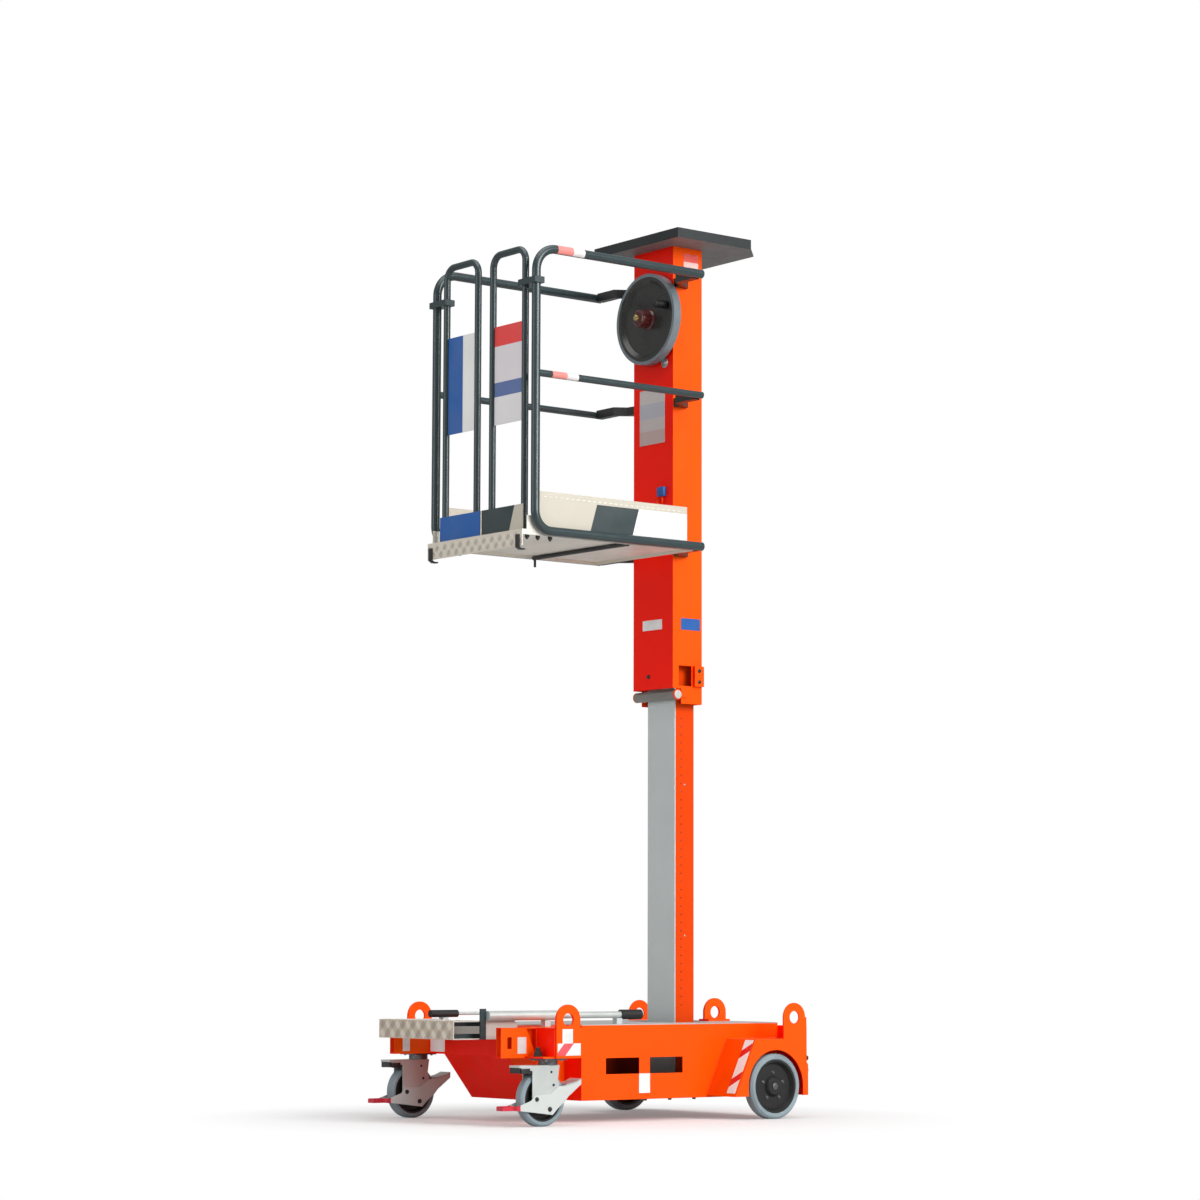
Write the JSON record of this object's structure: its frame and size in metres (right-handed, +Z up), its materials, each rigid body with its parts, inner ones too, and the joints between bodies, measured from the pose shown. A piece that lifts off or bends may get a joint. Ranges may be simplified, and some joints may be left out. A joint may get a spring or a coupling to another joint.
{
  "type": "push-around vertical mast lift with a hand-wheel drive",
  "caption": "Push-around vertical mast lift with a raised guarded platform, swivel castors, fixed rear wheels, a two-part mast and a hand wheel.",
  "frame": {"origin": "on the floor under the centre of the machine's outline, midway between the step's front and the rear plate", "axes": "+Z up, -Y towards the entry step and gates, +X to the machine's right side as seen from the rear facing the gates"},
  "size_m": [0.956, 1.514, 3.467],
  "materials": {
    "orange_paint": "gloss",
    "slate_paint": "satin",
    "light_sheet": "satin",
    "grey_strip": "satin",
    "zinc_steel": "satin",
    "grey_tyre": "matt",
    "black_plastic": "matt",
    "black_steel": "satin",
    "red_plastic": "gloss",
    "sign_panel": "satin"
  },
  "bodies": {
    "base": {"chassis_tub": "orange_paint", "deck_plate": "light_sheet", "entry_step": "light_sheet", "step_arms": "slate_paint", "castor_brackets": "orange_paint", "lifting_eyes": "orange_paint", "castor_mounts": "zinc_steel", "stub_axles": "zinc_steel", "wheel_housings": "orange_paint", "rear_cross_plate": "orange_paint", "deck_struts": "zinc_steel", "strut_sleeves": "black_plastic", "strut_saddles": "grey_strip", "inner_mast": "orange_paint", "inner_mast_strip": "grey_strip"},
    "carriage": {"outer_mast": "orange_paint", "mast_roller": "grey_strip", "mast_side_fittings": "orange_paint", "guide_pads": "black_plastic", "tool_tray": "slate_paint", "guard_rail_right": "slate_paint", "guard_rail_left": "slate_paint", "rail_brackets": "slate_paint", "platform_floor": "light_sheet", "toe_boards": "light_sheet", "under_floor_rod": "black_steel", "gate_hinges": "slate_paint", "hand_wheel_bearing": "grey_strip"},
    "gate_right": {"gate_frame_right": "slate_paint", "gate_panels_right": "sign_panel"},
    "gate_left": {"gate_frame_left": "slate_paint", "gate_panels_left": "sign_panel"},
    "hand_wheel": {"hand_wheel": "grey_strip", "hand_wheel_knob": "black_plastic"},
    "castor_right": {"castor_fork_right": "zinc_steel", "castor_brake_right": "red_plastic"},
    "castor_wheel_right": {"castor_hub_right": "black_plastic", "castor_tyre_right": "grey_tyre"},
    "fixed_wheel_right": {"wheel_hub_right": "black_plastic", "wheel_tyre_right": "grey_tyre"},
    "castor_left": {"castor_fork_left": "zinc_steel", "castor_brake_left": "red_plastic"},
    "castor_wheel_left": {"castor_hub_left": "black_plastic", "castor_tyre_left": "grey_tyre"},
    "fixed_wheel_left": {"wheel_hub_left": "black_plastic", "wheel_tyre_left": "grey_tyre"}
  },
  "joints": [
    {"name": "mast_lift", "type": "slide", "parent": "base", "child": "carriage", "axis": [0, 0, 1], "range_m": [-1.5, 0]},
    {"name": "gate_right_hinge", "type": "hinge", "parent": "carriage", "child": "gate_right", "pos_m": [0.255, -0.459, 2.21], "axis": [0, 0, -1], "range_deg": [0, 90], "stiffness_Nm_per_rad": 4},
    {"name": "gate_left_hinge", "type": "hinge", "parent": "carriage", "child": "gate_left", "pos_m": [-0.255, -0.459, 2.21], "axis": [0, 0, 1], "range_deg": [0, 90], "stiffness_Nm_per_rad": 4},
    {"name": "hand_wheel_turn", "type": "hinge", "parent": "carriage", "child": "hand_wheel", "pos_m": [0, 0.345, 3.145], "axis": [0, 1, 0], "range_deg": [-8650, 0]},
    {"name": "castor_right_swivel", "type": "hinge", "parent": "base", "child": "castor_right", "pos_m": [0.412, -0.455, 0.235], "axis": [0, 0, 1], "continuous": true},
    {"name": "castor_wheel_right_spin", "type": "hinge", "parent": "castor_right", "child": "castor_wheel_right", "pos_m": [0.412, -0.49, 0.1], "axis": [1, 0, 0], "continuous": true},
    {"name": "fixed_wheel_right_spin", "type": "hinge", "parent": "base", "child": "fixed_wheel_right", "pos_m": [0.453, 0.593, 0.124], "axis": [1, 0, 0], "continuous": true},
    {"name": "castor_left_swivel", "type": "hinge", "parent": "base", "child": "castor_left", "pos_m": [-0.412, -0.455, 0.235], "axis": [0, 0, 1], "continuous": true},
    {"name": "castor_wheel_left_spin", "type": "hinge", "parent": "castor_left", "child": "castor_wheel_left", "pos_m": [-0.412, -0.49, 0.1], "axis": [1, 0, 0], "continuous": true},
    {"name": "fixed_wheel_left_spin", "type": "hinge", "parent": "base", "child": "fixed_wheel_left", "pos_m": [-0.453, 0.593, 0.124], "axis": [1, 0, 0], "continuous": true}
  ],
  "couplings": [
    {"joint": "hand_wheel_turn", "follows": "mast_lift", "rad_per_m": 100.53}
  ]
}
